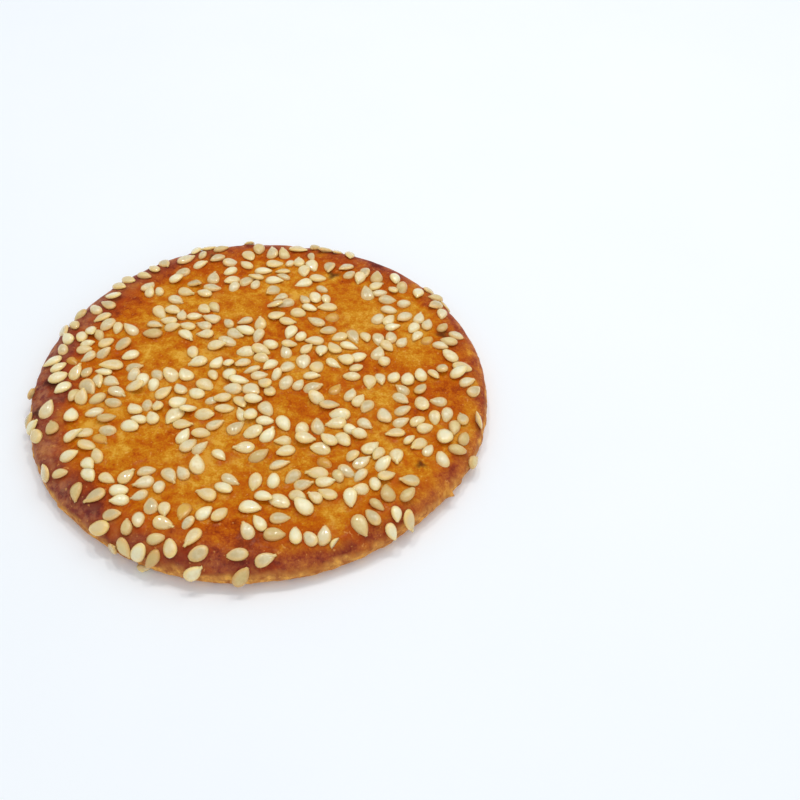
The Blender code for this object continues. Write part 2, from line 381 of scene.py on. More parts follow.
def readVectors(mesh, name):
    vectors = np.empty(len(mesh.vertices) * 3)
    mesh.vertices.foreach_get(name, vectors)
    return vectors.reshape(-1, 3)


def writePoints(mesh, points):
    mesh.vertices.foreach_set("co", np.ascontiguousarray(points, np.float32).ravel())
    mesh.update()


def storeValues(mesh, name, values):
    kept = mesh.attributes.new(name, "FLOAT", "POINT")
    kept.data.foreach_set("value", np.ascontiguousarray(values, np.float32))


def smoothStep(low, high, values):
    share = np.clip((values - low) / (high - low), 0, 1)
    return share * share * (3 - 2 * share)


# 1 at an outline and inside it, and less the further outside
def nearness(gaps, reach):
    return np.exp(-((np.maximum(gaps, 0) / reach) ** 2))


# 1 in the middle of a round spot, and falling to 0 past its reach
def inSpot(x, y, spotX, spotY, reach):
    return np.exp(-((np.hypot(x - spotX, y - spotY) / reach) ** 4))


# A closed round: a filled circle drawn up ring by ring, with each end closed to a point
def drawRound(name, sides, radii, heights):
    deselectAll()
    bpy.ops.mesh.primitive_circle_add(vertices=sides, radius=radii[0], fill_type="NGON")
    piece = bpy.context.active_object
    piece.name = name
    bpy.ops.object.mode_set(mode="EDIT")
    bpy.ops.mesh.select_mode(type="FACE")
    bpy.ops.mesh.select_all(action="SELECT")
    for radius, height, nextRadius, nextHeight in zip(radii, heights, radii[1:], heights[1:]):
        bpy.ops.mesh.extrude_region_move(TRANSFORM_OT_translate={"value": (0, 0, nextHeight - height)})
        scale = nextRadius / radius
        bpy.ops.transform.resize(value=(scale, scale, 1), center_override=(0, 0, nextHeight))
    bpy.ops.mesh.poke()  # closes the top
    bpy.ops.mesh.select_all(action="DESELECT")
    bpy.ops.object.mode_set(mode="OBJECT")
    for face in piece.data.polygons:
        face.select = len(face.vertices) > 4
    bpy.ops.object.mode_set(mode="EDIT")
    bpy.ops.mesh.poke()  # and the underside
    bpy.ops.mesh.select_all(action="SELECT")
    bpy.ops.mesh.normals_make_consistent(inside=False)
    bpy.ops.object.mode_set(mode="OBJECT")
    bpy.ops.object.shade_smooth()
    return piece


# The crust as it is modelled: rings drawn out from the middle of the underside to the middle of the top
crustModel = {
    "bearings": 512,
    "underRings": 16,
    "footRings": 12,
    "shoulderRings": 26,
    "topRings": 84,
    "poleRadius": 0.0003,
    "tableSteps": 2000,  # for looking up a vertex's place over the top and the shoulder
    "lowTableSteps": 200,  # and on the low side
    "steepFrom": 0.7,  # share of the shoulder's width past which the height tells the place
    "nearly": 1e-6,
    "flatBelow": 1e-7,
    "topHeights": (0.0015, 0.0035),  # over which the top's lumps set in
    "sideHeights": (0.0001, 0.0010),  # over which the side's do
    "groupSteps": 20,
    "lumpDetail": 2,
    "lumps": (  # noise size, strength, vertex group
        (0.0052, 0.00022, "top"),
        (0.0016, 0.00010, "top"),
        (0.0018, 0.00044, "side"),
        (0.0007, 0.00024, "side"),
    ),
    "flakes": (  # torn bits of the crust's edge: bearing, height, how far out, half as wide
        (326.8, 0.0016, 0.0009, 0.00055),
        (331.5, 0.0013, 0.0003, 0.00060),
        (226.0, 0.0015, 0.0003, 0.00080),
        (118.0, 0.0014, 0.0005, 0.00070),
    ),
    "flakeThickness": 0.0005,
    "flakeRise": 0.2,  # how far up they stick, share of how far out
    "seedReach": 0.005,  # beyond which a seed changes nothing
    "lipHeight": 0.00014,  # of the glaze drawn up against a seed
    "lipReach": 0.00034,
    "hollowDepth": 0.00007,  # of the dent round a cluster
    "hollowReach": 0.0012,
    "mostCrowded": 1.5,
}


def modelCrust():
    count = crustModel
    alongs = np.concatenate(
        [
            np.linspace(footAt, beltAt, count["footRings"], endpoint=False),
            np.linspace(beltAt, shoulderStart, count["shoulderRings"], endpoint=False),
            np.linspace(shoulderStart, count["poleRadius"], count["topRings"]),
        ]
    )
    radii, heights = profile(alongs)
    under = np.linspace(count["poleRadius"], radii[0], count["underRings"], endpoint=False)
    radii = np.concatenate([under, radii])
    heights = np.concatenate([0 * under, heights])
    piece = drawRound("crust", count["bearings"], radii, heights)
    print("crust rings", len(radii), "faces", len(piece.data.polygons))
    return piece


# Where each vertex of the true round lies on the crust laid out flat: how far along, and its bearing
def layFlat(points):
    model = crustModel
    radius, height = np.hypot(points[:, 0], points[:, 1]), points[:, 2]
    table = np.linspace(0, beltAt, model["tableSteps"])
    tableRadius, tableHeight = profile(table)
    byRadius = np.interp(radius, tableRadius, table)
    byHeight = np.interp(-height, -tableHeight, table)
    flat = radius < shoulderStart + model["steepFrom"] * dough["shoulderWidth"]
    along = np.where(flat, byRadius, byHeight)
    table = np.linspace(beltAt, footAt, model["lowTableSteps"])
    tableHeight = profile(table)[1]
    onSide = (height < dough["beltHeight"]) & (radius >= footRadius - model["nearly"])
    along = np.where(onSide, np.interp(-height, -tableHeight, table), along)
    underneath = (height < model["flatBelow"]) & (radius < footRadius - model["nearly"])
    along = np.where(underneath, footAt + footRadius - radius, along)
    return along, np.arctan2(points[:, 1], points[:, 0])


# How far outside the nearest seed's outline every vertex is, in metres, and how crowded its place is
def seedGaps(along, bearing, seeds):
    x, y = along * np.cos(bearing), along * np.sin(bearing)
    gaps = np.full(len(x), 1.0)
    crowd = np.zeros(len(x))
    window = crustModel["seedReach"]
    for seed in seeds:
        close = np.nonzero((np.abs(x - seed["x"]) < window) & (np.abs(y - seed["y"]) < window))[0]
        dx, dy = x[close] - seed["x"], y[close] - seed["y"]
        cosine, sine = math.cos(seed["heading"]), math.sin(seed["heading"])
        ahead, aside = dx * cosine + dy * sine, dy * cosine - dx * sine
        reach = np.hypot(ahead / (0.5 * seed["length"]), aside / (0.5 * seed["width"])) + crustModel["nearly"]
        gap = np.hypot(ahead, aside) * (1 - 1 / reach)
        gaps[close] = np.minimum(gaps[close], gap)
        crowd[close] += nearness(gap, crustModel["hollowReach"])
    return gaps, crowd


def groupVertices(piece, name, weights):
    group = piece.vertex_groups.new(name=name)
    steps = crustModel["groupSteps"]
    for step in range(1, steps + 1):
        chosen = np.nonzero(np.round(weights * steps) == step)[0]
        group.add(chosen.tolist(), step / steps, "REPLACE")


def addLumps(piece, height):
    top = smoothStep(*crustModel["topHeights"], height)
    groupVertices(piece, "top", top)
    groupVertices(piece, "side", smoothStep(*crustModel["sideHeights"], height) * (1 - top))
    showOnly(piece)
    for number, (size, strength, group) in enumerate(crustModel["lumps"]):
        texture = bpy.data.textures.new(f"lumps{number}", "CLOUDS")
        texture.noise_scale = size
        texture.noise_depth = crustModel["lumpDetail"]
        bpy.ops.object.modifier_add(type="DISPLACE")
        lump = piece.modifiers[-1]
        lump.texture = texture
        lump.texture_coords = "LOCAL"
        lump.strength = strength
        lump.mid_level = 0.5
        lump.vertex_group = group
        bpy.ops.object.modifier_apply(modifier=lump.name)


# How far each vertex of the edge is pulled out into a torn flake
def flakePull(along, bearing, height):
    total = 0
    for at, flakeHeight, reach, halfWidth in crustModel["flakes"]:
        aside = np.abs((bearing - math.radians(at) + math.pi) % (2 * math.pi) - math.pi) * dough["radius"]
        pull = np.maximum(1 - aside / halfWidth, 0)
        pull = pull * np.exp(-(((height - flakeHeight) / crustModel["flakeThickness"]) ** 2))
        total = total + reach * pull * (along > shoulderStart)
    return total


def shapeCrust(piece, along, bearing, gaps, crowd):
    points = readVectors(piece.data, "co")
    height = points[:, 2]
    writePoints(piece.data, uneven(points))
    addLumps(piece, height)
    lip = crustModel["lipHeight"] * nearness(gaps, crustModel["lipReach"])
    hollow = crustModel["hollowDepth"] * np.minimum(crowd, crustModel["mostCrowded"])
    rise = np.where(along < beltAt, lip - hollow, 0)
    points = readVectors(piece.data, "co") + readVectors(piece.data, "normal") * rise[:, None]
    upwards = np.full(len(bearing), crustModel["flakeRise"])
    outwards = np.stack([np.cos(bearing), np.sin(bearing), upwards], -1)
    writePoints(piece.data, points + outwards * flakePull(along, bearing, height)[:, None])
    print("crust shaped")


# How the crust baked, by its place. Distances are taken over the crust from the middle
crustBaking = {
    "browning": (  # how far along, how browned, from 0 to 1
        (0.0000, 0.30),
        (0.0100, 0.28),
        (0.0140, 0.27),
        (0.0200, 0.29),
        (0.0250, 0.34),
        (0.0270, 0.43),
        (0.0280, 0.51),
        (0.0290, 0.59),
        (0.0300, 0.63),
        (0.0312, 0.64),
        (0.0325, 0.62),
        (0.0335, 0.56),
    ),
    "byBearing": (  # bearing, how much more the shoulder browned there than elsewhere, how much further in
        (0, -0.08, -0.0005),
        (30, 0.02, 0.0),
        (90, 0.04, 0.0004),
        (130, 0.04, 0.0012),
        (150, -0.04, 0.0018),
        (170, 0.02, 0.0022),
        (190, 0.10, 0.0028),
        (210, 0.14, 0.0018),
        (230, 0.00, 0.0007),
        (250, -0.06, 0.0005),
        (270, -0.02, 0.0004),
        (290, -0.06, -0.0004),
        (310, -0.16, -0.0008),
        (330, -0.24, -0.0012),
        (350, -0.12, -0.0010),
        (360, -0.08, -0.0005),
    ),
    "moreFrom": (0.0240, 0.0300),
    "furtherInFrom": (0.0120, 0.0260),
    "furtherInTo": (0.0300, 0.0330),
    "warmSpots": (  # x, y, reach, how much more or less browned
        (-0.0190, 0.0000, 0.0055, -0.12),
        (-0.0125, -0.0060, 0.0040, -0.10),
        (-0.0215, -0.0130, 0.0040, 0.12),
        (-0.0165, -0.0190, 0.0055, 0.16),
        (-0.0110, -0.0245, 0.0040, 0.12),
        (0.0000, -0.0195, 0.0045, -0.12),
        (0.0175, -0.0165, 0.0050, -0.16),
    ),
    "paintedSheen": (  # bearing, and the share of painted sheen there: a plum reflection of the bright surroundings painted on the shoulder
        (100, 0.00),
        (135, 0.52),
        (185, 0.52),
        (230, 0.46),
        (258, 0.22),
        (280, 0.10),
        (300, 0.00),
    ),
    "paintedSheenFrom": (0.0298, 0.0318),
    "burntSpots": (  # x, y, reach of the small places that caught
        (-0.0292, -0.0040, 0.0011),
        (-0.0300, -0.0092, 0.0008),
        (0.0236, -0.0152, 0.0006),
        (0.0080, 0.0240, 0.0009),
        (-0.0120, 0.0262, 0.0007),
        (0.0262, 0.0110, 0.0008),
    ),
    "burntCorners": 3,
    "burntRaggedness": 0.35,
    "burntTurn": 900,  # by which each is turned differently, radians for each metre of its x
    "burntShare": 0.8,
    "nearSeedReach": 0.0005,
    "pooledReach": 0.0010,
}


# Stores on every vertex how it baked, for the material to read
def bakeCrust(piece, along, bearing, gaps):
    rule = crustBaking
    mesh = piece.data
    onTop = along < beltAt
    storeValues(mesh, "along", along / beltAt)
    # nearness to a seed: the mask for the glaze drawn up beside it and for its painted contact shade
    storeValues(mesh, "nearSeed", np.where(onTop, nearness(gaps, rule["nearSeedReach"]), 0))
    storeValues(mesh, "pooled", np.where(onTop, nearness(gaps, rule["pooledReach"]), 0))

    x, y = along * np.cos(bearing), along * np.sin(bearing)
    burnt = np.zeros(len(x))
    for spotX, spotY, reach in rule["burntSpots"]:
        corner = rule["burntCorners"] * np.arctan2(y - spotY, x - spotX) + rule["burntTurn"] * spotX
        ragged = 1 + rule["burntRaggedness"] * np.sin(corner)
        burnt = np.maximum(burnt, inSpot(x, y, spotX, spotY, reach * ragged))
    storeValues(mesh, "burnt", rule["burntShare"] * burnt)

    degrees = np.degrees(bearing) % 360
    bearings, mores, furtherIns = zip(*rule["byBearing"])
    furtherIn = np.interp(degrees, bearings, furtherIns) * smoothStep(*rule["furtherInFrom"], along)
    baked = along + furtherIn * (1 - smoothStep(*rule["furtherInTo"], along))
    more = np.interp(degrees, bearings, mores) * smoothStep(*rule["moreFrom"], along)
    for spotX, spotY, reach, change in rule["warmSpots"]:
        more = more + change * inSpot(x, y, spotX, spotY, reach)
    # painted sheen: a plum reflection of the bright surroundings, painted on the shoulder by bearing
    paintedSheen = np.interp(degrees, *zip(*rule["paintedSheen"])) * smoothStep(*rule["paintedSheenFrom"], baked)
    storeValues(mesh, "baked", baked / beltAt)
    storeValues(mesh, "browning", np.interp(baked, *zip(*rule["browning"])) + more)
    storeValues(mesh, "paintedSheen", paintedSheen)
    print("crust baked")


# Six forms that hulled sesame seeds take, in shares of a seed: how much the outline narrows to its point, how
# far its tip sticks out and how wide it ends, how thin its neck is, its bend, its dent, and how long it is
seedForms = (
    {"point": 0.42, "nub": -0.02, "tip": 0.10, "neck": 0.00, "bend": 0.00, "dent": 0.00, "long": 0.98},
    {"point": 0.60, "nub": 0.005, "tip": 0.10, "neck": 0.12, "bend": 0.05, "dent": 0.12, "long": 1.00},
    {"point": 0.28, "nub": -0.03, "tip": 0.12, "neck": 0.00, "bend": -0.04, "dent": 0.00, "long": 0.94},
    {"point": 0.66, "nub": 0.020, "tip": 0.105, "neck": 0.22, "bend": 0.06, "dent": 0.18, "long": 0.98},
    {"point": 0.76, "nub": -0.01, "tip": 0.07, "neck": 0.00, "bend": -0.03, "dent": 0.05, "long": 1.03},
    {"point": 0.48, "nub": -0.01, "tip": 0.10, "neck": 0.05, "bend": 0.02, "dent": 0.14, "long": 0.96},
)
seedModel = {
    "sides": 18,
    "rings": ((1, 0), (0.90, 0.22), (0.58, 0.41)),  # share of the outline, height, from the outline upwards
    "ridge": 0.50,
    "keel": -0.50,
    "atMiddle": 0.01,  # share of the outline within which lies the ridge's or the keel's point
    "offOutline": 0.1,  # higher or lower than this is no longer the outline
    "tipReach": 15,  # degrees round the outline from the tip
    "neckAt": 30,
    "neckReach": 0.1,  # radians
    "dentAt": -0.05,
    "dentLength": 0.20,
    "dentWidth": 0.22,
    "thinTip": 0.42,
    "wobble": 0.020,  # by which no two are quite alike
    "wobbleTightness": 5,
    "breakNormal": (1, 0.35, 0.25),
    "trim": (0.97, 0.97, 1.00),  # of length, width and thickness, as the solid's seeds are faceted
    "tallest": 0.00558,  # above the table, where one lies on others
}


# A seed of unit length, width and thickness, its tip at +X: an outline, with a ridge above and a keel below
def modelSeed(number, form):
    model = seedModel
    shares, heights = zip(*model["rings"])
    piece = drawRound(f"seedForm{number}", model["sides"], [0.5 * share for share in shares], heights)
    x, y, z = readVectors(piece.data, "co").T
    share = np.hypot(x, y) / 0.5
    ends = np.where(z > model["offOutline"], model["ridge"], model["keel"])
    z = np.where(share < model["atMiddle"], ends, z)

    # the outline is drawn in towards the tip and ends in a blunt nub, on some behind a neck
    turn = np.arctan2(y, x)
    outX, outY = 0.5 * np.cos(turn), 0.5 * np.sin(turn)
    widest = 2 * math.atan(math.sqrt(1 + form["point"]))
    peak = math.sin(widest) * math.sin(widest / 2) ** form["point"]
    outY = outY * np.sqrt(np.clip(0.5 - outX, 0, 1)) ** form["point"] / peak
    atTip = np.abs(turn) < math.radians(model["tipReach"])
    atNeck = np.abs(np.abs(turn) - math.radians(model["neckAt"])) < model["neckReach"]
    outY = np.where(atNeck, outY * (1 - form["neck"]), outY)
    outY = np.where(atTip, np.sign(outY) * form["tip"], outY)
    outX = np.where(atTip, outX + form["nub"], outX)

    x, y = share * outX, share * outY + form["bend"] * (1 - 4 * (share * outX) ** 2)
    z = z * (1 - model["thinTip"] * smoothStep(0.0, 0.5, x))
    inDent = np.exp(-(((x - model["dentAt"]) / model["dentLength"]) ** 2) - (y / model["dentWidth"]) ** 2)
    z = z - form["dent"] * inDent * (z > model["offOutline"])
    writePoints(piece.data, np.stack([x * form["long"], y, z], -1))
    storeValues(piece.data, "seedOuter", share * (z > -model["offOutline"]))
    return piece


# Cuts a seed's tip end off, at a share of its length from the middle
def breakSeed(piece, at):
    normal = seedModel["breakNormal"]
    showOnly(piece)
    bpy.ops.object.mode_set(mode="EDIT")
    bpy.ops.mesh.select_all(action="SELECT")
    bpy.ops.mesh.bisect(plane_co=(at, 0, 0), plane_no=normal, use_fill=True, clear_outer=True)
    bpy.ops.object.mode_set(mode="OBJECT")


def copySeed(form, seed):
    model = seedModel
    piece = form.copy()
    piece.data = form.data.copy()
    bpy.context.scene.collection.objects.link(piece)
    if seed.get("broken") is not None:
        breakSeed(piece, seed["broken"])
    points = readVectors(piece.data, "co")
    storeValues(piece.data, "seedTone", np.full(len(points), seed["tone"]))
    storeValues(piece.data, "seedAhead", points[:, 0] + 0.5)
    if seed["mirror"]:
        points[:, 1] *= -1
        piece.data.flip_normals()
    wobble = np.sin(points * model["wobbleTightness"] + seed["shift"][0]) * seed["shift"][1] * model["wobble"]
    points = points + wobble[:, [1, 2, 0]]
    points *= np.array([seed["length"], seed["width"], seed["thickness"]]) * model["trim"]
    middle, turn = crustFrame(seed["along"], seed["bearing"])
    sink = strewing["sink"] + seedKinds["extraSink"][seed["kind"]]
    place = (
        Matrix.Translation(middle)
        @ turn.to_4x4()
        @ Matrix.Translation((0, 0, seed["lift"] + (0.5 - sink) * seed["thickness"]))
        @ Matrix.Rotation(seed["heading"] - seed["bearing"], 4, "Z")
        @ Matrix.Rotation(seed["lean"], 4, "Y")
        @ Matrix.Rotation(seed["roll"], 4, "X")
    )
    place = np.array(place)
    points = points @ place[:3, :3].T + place[:3, 3]
    points[:, 2] -= max(0, points[:, 2].max() - model["tallest"])
    writePoints(piece.data, points)
    return piece


# One piece for each kind of seed
def makeSeeds(seeds):
    forms = [modelSeed(number, form) for number, form in enumerate(seedForms)]
    pieces = {}
    for kind in seedKinds["kinds"]:
        copies = [copySeed(forms[seed["form"]], seed) for seed in seeds if seed["kind"] == kind]
        showOnly(copies[0])
        for copy in copies:
            copy.select_set(True)
        bpy.ops.object.join()
        piece = bpy.context.active_object
        piece.name = kind
        piece.data.name = kind
        pieces[kind] = piece
        print(kind, len(copies), "seeds", len(piece.data.polygons), "faces")
    for form in forms:
        bpy.data.objects.remove(form)
    return pieces


def addNode(tree, kind, **settings):
    node = tree.nodes.new(kind)
    for name, given in settings.items():
        if name in node.inputs:
            node.inputs[name].default_value = given
        else:
            setattr(node, name, given)
    return node


def newMaterial(name):
    material = bpy.data.materials.new(name)
    material.use_nodes = True
    tree = material.node_tree
    return material, tree, tree.nodes["Principled BSDF"]


def setSockets(surface, settings):
    for name, given in settings.items():
        surface.inputs[name].default_value = given


# Gives a socket a number, a colour or another node's output
def feed(tree, socket, given):
    if isinstance(given, bpy.types.NodeSocket):
        tree.links.new(given, socket)
    else:
        socket.default_value = given


# One part of a colour, from 0 to 255 as a screen has it, in the linear light that shaders take
def linearPart(part):
    share = part / 255
    return share / 12.92 if share <= 0.04045 else ((share + 0.055) / 1.055) ** 2.4


def linear(*rgb):
    return [*(linearPart(part) for part in rgb), 1]


# A noise pattern on the piece's own coordinates, of a size in metres
def noise(tree, size, detail, roughness, shift=(0, 0, 0)):
    place = addNode(tree, "ShaderNodeTexCoord")
    mapping = addNode(tree, "ShaderNodeMapping", Location=shift, Scale=(1 / size, 1 / size, 1 / size))
    pattern = addNode(tree, "ShaderNodeTexNoise", Scale=1.0, Detail=detail, Roughness=roughness)
    tree.links.new(place.outputs["Object"], mapping.inputs["Vector"])
    tree.links.new(mapping.outputs["Vector"], pattern.inputs["Vector"])
    return pattern.outputs["Fac"]


def stored(tree, name):
    return addNode(tree, "ShaderNodeAttribute", attribute_name=name).outputs["Fac"]


def reckon(tree, operation, *terms):
    node = addNode(tree, "ShaderNodeMath", operation=operation)
    for socket, given in zip(node.inputs, terms):
        feed(tree, socket, given)
    return node.outputs[0]


# A value raised and lowered by a pattern that lies round a half
def vary(tree, base, pattern, amount):
    return reckon(tree, "MULTIPLY_ADD", reckon(tree, "SUBTRACT", pattern, 0.5), amount, base)


# A value's way from low to high, eased, as its way from outLow to outHigh
def spread(tree, fac, low, high, outLow=0.0, outHigh=1.0):
    node = addNode(tree, "ShaderNodeMapRange", interpolation_type="SMOOTHSTEP")
    tree.links.new(fac, node.inputs["Value"])
    setSockets(node, {"From Min": low, "From Max": high, "To Min": outLow, "To Max": outHigh})
    return node.outputs["Result"]


def ramp(tree, fac, stops):
    node = addNode(tree, "ShaderNodeValToRGB")
    node.color_ramp.interpolation = "EASE"
    elements = node.color_ramp.elements
    while len(elements) < len(stops):
        elements.new(0.5)
    for element, (at, colour) in zip(elements, stops):
        element.position = at
        element.color = colour
    tree.links.new(fac, node.inputs["Fac"])
    return node.outputs["Color"]


def mix(tree, fac, first, second):
    node = addNode(tree, "ShaderNodeMix", data_type="RGBA")
    for socket, given in zip((node.inputs[0], node.inputs[6], node.inputs[7]), (fac, first, second)):
        feed(tree, socket, given)
    return node.outputs[2]


# Relief from several patterns, one upon the other: pattern, depth in metres, strength
def bump(tree, surface, patterns, layers):
    normal = None
    for name, depth, strength in layers:
        node = addNode(tree, "ShaderNodeBump", Strength=strength, Distance=depth)
        tree.links.new(patterns[name], node.inputs["Height"])
        if normal is not None:
            tree.links.new(normal, node.inputs["Normal"])
        normal = node.outputs["Normal"]
    tree.links.new(normal, surface.inputs["Normal"])


crustLook = {
    "patterns": {  # size, detail, roughness, shift
        "patches": (0.0080, 1.5, 0.5),
        "blotches": (0.0026, 1.5, 0.5, (3, 1, 2)),
        "freckles": (0.0010, 1, 0.5, (1, 5, 2)),
        "grain": (0.00030, 2, 0.65),
        "scorches": (0.0019, 3, 0.55, (2, 7, 4)),
        "mottles": (0.0011, 3, 0.6, (4, 4, 1)),
        "pools": (0.0026, 2, 0.5, (6, 3, 9)),
        "paintedGlints": (0.00050, 1, 0.5, (8, 2, 5)),
        "side": (0.0012, 4, 0.65),
        "under": (0.0060, 5, 0.65),
    },
    "shares": {  # over which part of a pattern its colour takes hold, and from what share to what
        "mottles": (0.36, 0.62, 0.0, 1.0),
        "pools": (0.50, 0.68, 0.0, 0.60),
        "paintedGlints": (0.66, 0.76, 0.0, 0.45),
        "side": (0.30, 0.70, 0.0, 1.0),
        "under": (0.35, 0.68, 0.0, 1.0),
    },
    "unevenness": {"patches": 1.15, "blotches": 1.15, "freckles": 0.70, "grain": 0.85},  # of the browning
    "scorched": 0.6,
    "browned": (  # the flat of the top, from its palest to its darkest
        (0.00, linear(224, 165, 60)),
        (0.15, linear(212, 144, 34)),
        (0.35, linear(200, 118, 11)),
        (0.58, linear(188, 91, 3)),
        (0.78, linear(168, 68, 2)),
        (1.00, linear(134, 46, 6)),
    ),
    "rimBrownedAndSheen": (  # the shoulder, redder and browner, and duller with a painted sheen of the sky in its colours
        (0.00, linear(218, 150, 64)),
        (0.20, linear(201, 123, 50)),
        (0.42, linear(182, 100, 45)),
        (0.62, linear(164, 80, 41)),
        (0.80, linear(143, 59, 37)),
        (1.00, linear(106, 36, 28)),
    ),
    "rimFrom": (0.82, 0.94),  # where the one gives way to the other, share of the way to the widest line
    "wander": 0.10,  # how far such a boundary wanders
    # the painted sheen's colours, mottled between them: a plum reflection of the bright surroundings
    "paintedSheenDark": linear(112, 56, 58),
    "paintedSheenPale": linear(182, 126, 92),
    "pooled": linear(180, 66, 6),  # the glaze, where it ran together beside the seeds
    # beside the seeds: the glaze drawn up, darkened as a painted contact shade, plum-dark on the shoulder
    "glazeAndShadeBySeeds": linear(194, 94, 4),
    "glazeAndShadeByRimSeeds": linear(124, 44, 28),
    "glazeAndShadeBySeedsShare": (0.25, 0.45),  # on the flat, on the shoulder
    # painted glints: small pale specks on the glaze
    "paintedGlints": linear(230, 164, 88),
    "side": ((0.0, linear(172, 98, 50)), (0.5, linear(206, 138, 68)), (1.0, linear(240, 174, 82))),
    "sideFrom": (0.950, 0.992),
    "burnt": linear(58, 26, 14),
    "underBrown": linear(160, 98, 48),
    "underPale": linear(205, 150, 88),
    "underFrom": (footAt / beltAt - 0.01, footAt / beltAt + 0.03),
    "roughness": (0.3, 0.7, 0.34, 0.52),  # by the blotches, as the shares are given
    "surface": {
        "Coat Weight": 0.025,
        "Coat Roughness": 0.14,
        "Specular IOR Level": 0.03,
        "Subsurface Weight": 0.15,
        "Subsurface Radius": (1.0, 0.45, 0.12),
        "Subsurface Scale": 0.0006,
    },
    "relief": (("blotches", 0.00018, 0.5), ("freckles", 0.00012, 0.6), ("grain", 0.00009, 0.8)),
}


def crustMaterial():
    material, tree, surface = newMaterial("bakedCrust")
    look = crustLook
    patterns = {name: noise(tree, *given) for name, given in look["patterns"].items()}
    shares = {name: spread(tree, patterns[name], *given) for name, given in look["shares"].items()}

    # the browning of the flat and of the shoulder
    tone = stored(tree, "browning")
    for name, amount in look["unevenness"].items():
        tone = vary(tree, tone, patterns[name], amount)
    scorches = reckon(tree, "SUBTRACT", patterns["scorches"], 0.5)
    scorches = reckon(tree, "MULTIPLY", scorches, stored(tree, "browning"))
    tone = reckon(tree, "MULTIPLY_ADD", scorches, look["scorched"], tone)
    wander = reckon(tree, "SUBTRACT", reckon(tree, "ADD", patterns["patches"], patterns["blotches"]), 1)
    wander = reckon(tree, "MULTIPLY", wander, look["wander"])
    onRim = spread(tree, reckon(tree, "ADD", stored(tree, "baked"), wander), *look["rimFrom"])
    colour = mix(tree, onRim, ramp(tree, tone, look["browned"]), ramp(tree, tone, look["rimBrownedAndSheen"]))

    # the glaze and painted light: a painted plum sheen on one side, the glaze run together in places, and
    # beside each seed the glaze drawn up dark with a painted contact shade
    paintedSheen = mix(tree, shares["mottles"], look["paintedSheenDark"], look["paintedSheenPale"])
    colour = mix(tree, stored(tree, "paintedSheen"), colour, paintedSheen)
    pooled = reckon(tree, "MULTIPLY", stored(tree, "pooled"), shares["pools"])
    colour = mix(tree, pooled, colour, look["pooled"])
    # a painted contact shade with the glaze beside each seed, darker on the shoulder
    glazeAndShadeBySeeds = mix(tree, onRim, look["glazeAndShadeBySeeds"], look["glazeAndShadeByRimSeeds"])
    glazeAndShadeShare = spread(tree, onRim, 0, 1, *look["glazeAndShadeBySeedsShare"])
    colour = mix(tree, reckon(tree, "MULTIPLY", stored(tree, "nearSeed"), glazeAndShadeShare), colour, glazeAndShadeBySeeds)
    # painted glints: pale specks painted on the glaze
    colour = mix(tree, shares["paintedGlints"], colour, look["paintedGlints"])

    # the bare side, the small places that caught, and the underside
    along = stored(tree, "along")
    onSide = spread(tree, reckon(tree, "ADD", along, wander), *look["sideFrom"])
    colour = mix(tree, onSide, colour, ramp(tree, shares["side"], look["side"]))
    colour = mix(tree, stored(tree, "burnt"), colour, look["burnt"])
    under = mix(tree, shares["under"], look["underBrown"], look["underPale"])
    colour = mix(tree, spread(tree, along, *look["underFrom"]), colour, under)

    tree.links.new(colour, surface.inputs["Base Color"])
    tree.links.new(spread(tree, patterns["blotches"], *look["roughness"]), surface.inputs["Roughness"])
    setSockets(surface, look["surface"])
    bump(tree, surface, patterns, look["relief"])
    return material


# Each kind of seed: its colours, how much of the edge's colour shows, and its own surface. The edge's warm
# colour on the outline is a painted glow of the crust's light through the thin edges; on the tip it is the
# seed's own darker colour
seedLooks = {
    "drySeeds": {
        "dark": linear(227, 200, 143),
        "light": linear(244, 231, 190),
        "edge": linear(252, 206, 112),
        "glowingEdgeShare": 0.72,
        "surface": {"Roughness": 0.32, "Coat Weight": 0.75, "Subsurface Weight": 0.55},
    },
    "glazedSeeds": {
        "dark": linear(206, 182, 130),
        "light": linear(230, 213, 170),
        "edge": linear(244, 192, 102),
        "glowingEdgeShare": 0.75,
        "surface": {"Roughness": 0.26, "Coat Weight": 0.90, "Subsurface Weight": 0.60},
    },
    "toastedSeeds": {
        "dark": linear(208, 176, 108),
        "light": linear(228, 204, 142),
        "edge": linear(218, 162, 80),
        "glowingEdgeShare": 0.6,
        "surface": {"Roughness": 0.32, "Coat Weight": 0.45, "Subsurface Weight": 0.50},
    },
    "sunkenSeeds": {
        "dark": linear(210, 150, 40),
        "light": linear(222, 176, 74),
        "edge": linear(204, 122, 20),
        "glowingEdgeShare": 0.7,
        "surface": {"Roughness": 0.30, "Coat Weight": 0.30, "Subsurface Weight": 0.50},
    },
}
everySeedLook = {
    "patterns": {  # size, detail, roughness, shift
        "clouds": (0.0011, 2, 0.5),
        "mottles": (0.00042, 2, 0.6, (5, 2, 8)),
        "specks": (0.00025, 2, 0.6),
    },
    "unevenness": {"clouds": 0.8, "mottles": 0.9},
    "glowingEdgeFrom": (0.42, 1.0),  # share of the way out to its outline
    "tip": (0.86, 1.04, 0.0, 0.45),  # the part of its length where the edge's colour sets in, and its share
    "surface": {"Coat Roughness": 0.06, "Subsurface Radius": (1.0, 0.90, 0.68), "Subsurface Scale": 0.0006},
    "relief": (("clouds", 0.00008, 0.5), ("mottles", 0.00005, 0.5), ("specks", 0.00003, 0.4)),
}


